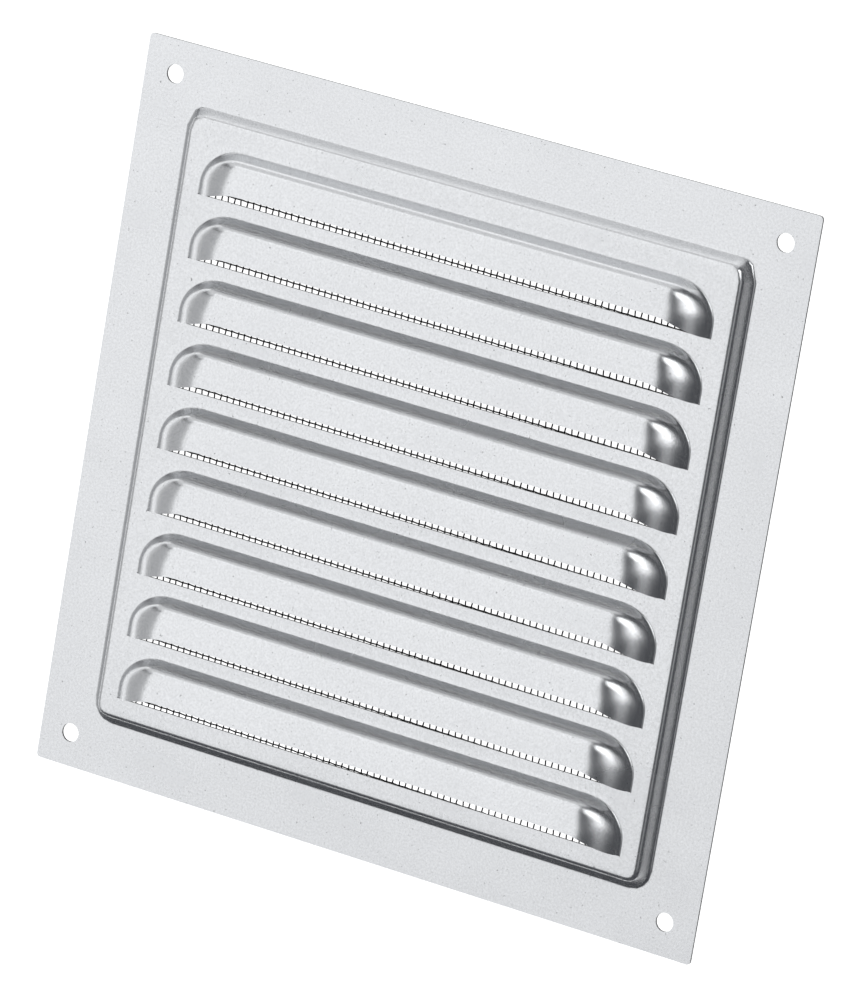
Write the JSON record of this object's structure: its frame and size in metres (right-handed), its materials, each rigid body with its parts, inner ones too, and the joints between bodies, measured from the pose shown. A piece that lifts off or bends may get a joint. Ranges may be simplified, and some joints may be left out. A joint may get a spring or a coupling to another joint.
{
  "type": "louvred sheet metal panel",
  "caption": "Square pressed steel ventilation panel: a flat screw-on flange round a raised field of downward-opening louvres, with woven insect mesh behind them.",
  "frame": {"origin": "middle of the flange's back face, which lies against the wall", "axes": "+Z out of the front, through the four screw holes; +Y up as mounted, so the louvres open towards -Y; +X to the right seen from the front"},
  "size_m": [0.15, 0.15, 0.0072],
  "materials": {
    "galvanised_steel": "smooth zinc coating, satin, with fine specks and light handling marks",
    "mesh_wire": "black coated woven wire, dull"
  },
  "bodies": {
    "root": {"louvred_panel": "galvanised_steel", "insect_mesh": "mesh_wire"}
  },
  "joints": []
}
